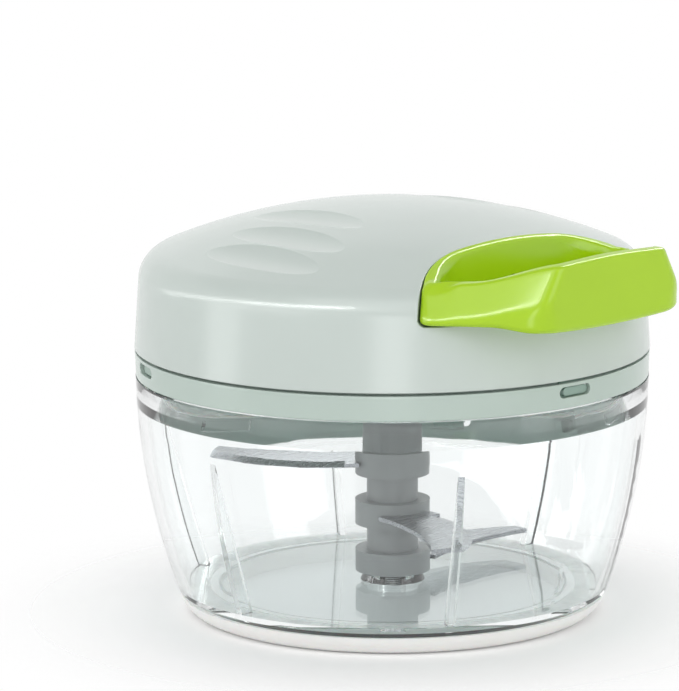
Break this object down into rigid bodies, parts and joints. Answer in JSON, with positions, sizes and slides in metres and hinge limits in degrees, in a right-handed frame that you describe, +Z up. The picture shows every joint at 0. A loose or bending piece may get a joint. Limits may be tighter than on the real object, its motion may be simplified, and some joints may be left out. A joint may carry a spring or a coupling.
{
  "type": "pull-string food chopper",
  "caption": "Hand food chopper: clear bowl with a blade spindle, a domed lid with a spring-loaded cord reel inside, and a loop handle that pulls the cord to spin the blades.",
  "frame": {"origin": "on the bowl's axis, at the table under the foot ring", "axes": "+X is the way the handle is pulled, +Z is up, +Y follows by the right-hand rule"},
  "size_m": [0.1334, 0.1238, 0.0994],
  "materials": {
    "lid_plastic": "satin moulded",
    "skirt_plastic": "satin moulded",
    "handle_plastic": "glossy moulded",
    "clear_plastic": "clear moulded plastic",
    "white_silicone": "soft matt",
    "grey_plastic": "moulded",
    "white_plastic": "moulded",
    "blade_steel": "ground and brushed",
    "turned_steel": "turned",
    "spring_steel": "blued strip",
    "cord": "braided"
  },
  "bodies": {
    "bowl": {"bowl": "clear_plastic", "foot_ring": "white_silicone", "pivot_pin": "turned_steel"},
    "seal": {"lid_gasket": "white_silicone"},
    "lid": {"lid_cover": "lid_plastic", "lid_base": "skirt_plastic", "reel_axle": "turned_steel", "thrust_washer": "white_plastic", "drive_bush": "white_plastic", "drive_seal": "white_silicone", "cord_eyelet": "turned_steel", "pull_cord": "cord", "recoil_spring": "spring_steel"},
    "reel": {"cord_reel": "white_plastic", "drive_plate": "white_plastic", "drive_screws": "turned_steel"},
    "handle": {"pull_handle": "handle_plastic", "cord_knot": "cord"},
    "blades": {"blade_spindle": "grey_plastic", "upper_blade": "blade_steel", "middle_blade": "blade_steel", "lower_blade": "blade_steel"}
  },
  "joints": [
    {"name": "lid_lift", "type": "slide", "parent": "bowl", "child": "seal", "axis": [0, 0, 1], "range_m": [0, 0.12]},
    {"name": "lid_turn", "type": "hinge", "parent": "seal", "child": "lid", "pos_m": [0, 0, 0.064], "axis": [0, 0, 1], "range_deg": [-18, 0]},
    {"name": "handle_pull", "type": "slide", "parent": "lid", "child": "handle", "axis": [1, 0, 0], "range_m": [0, 0.3], "stiffness_N_per_m": 20, "springref_m": -0.1, "deforming": ["pull_cord"]},
    {"name": "reel_spin", "type": "hinge", "parent": "lid", "child": "reel", "pos_m": [0, 0, 0.076], "axis": [0, 0, 1], "range_deg": [0, 860], "deforming": ["recoil_spring"]},
    {"name": "blade_spin", "type": "hinge", "parent": "bowl", "child": "blades", "pos_m": [0, 0, 0.02], "axis": [0, 0, 1], "continuous": true}
  ],
  "couplings": [
    {"joint": "reel_spin", "follows": "handle_pull", "rad_per_m": 49.751},
    {"joint": "blade_spin", "follows": "handle_pull", "rad_per_m": 49.751}
  ]
}
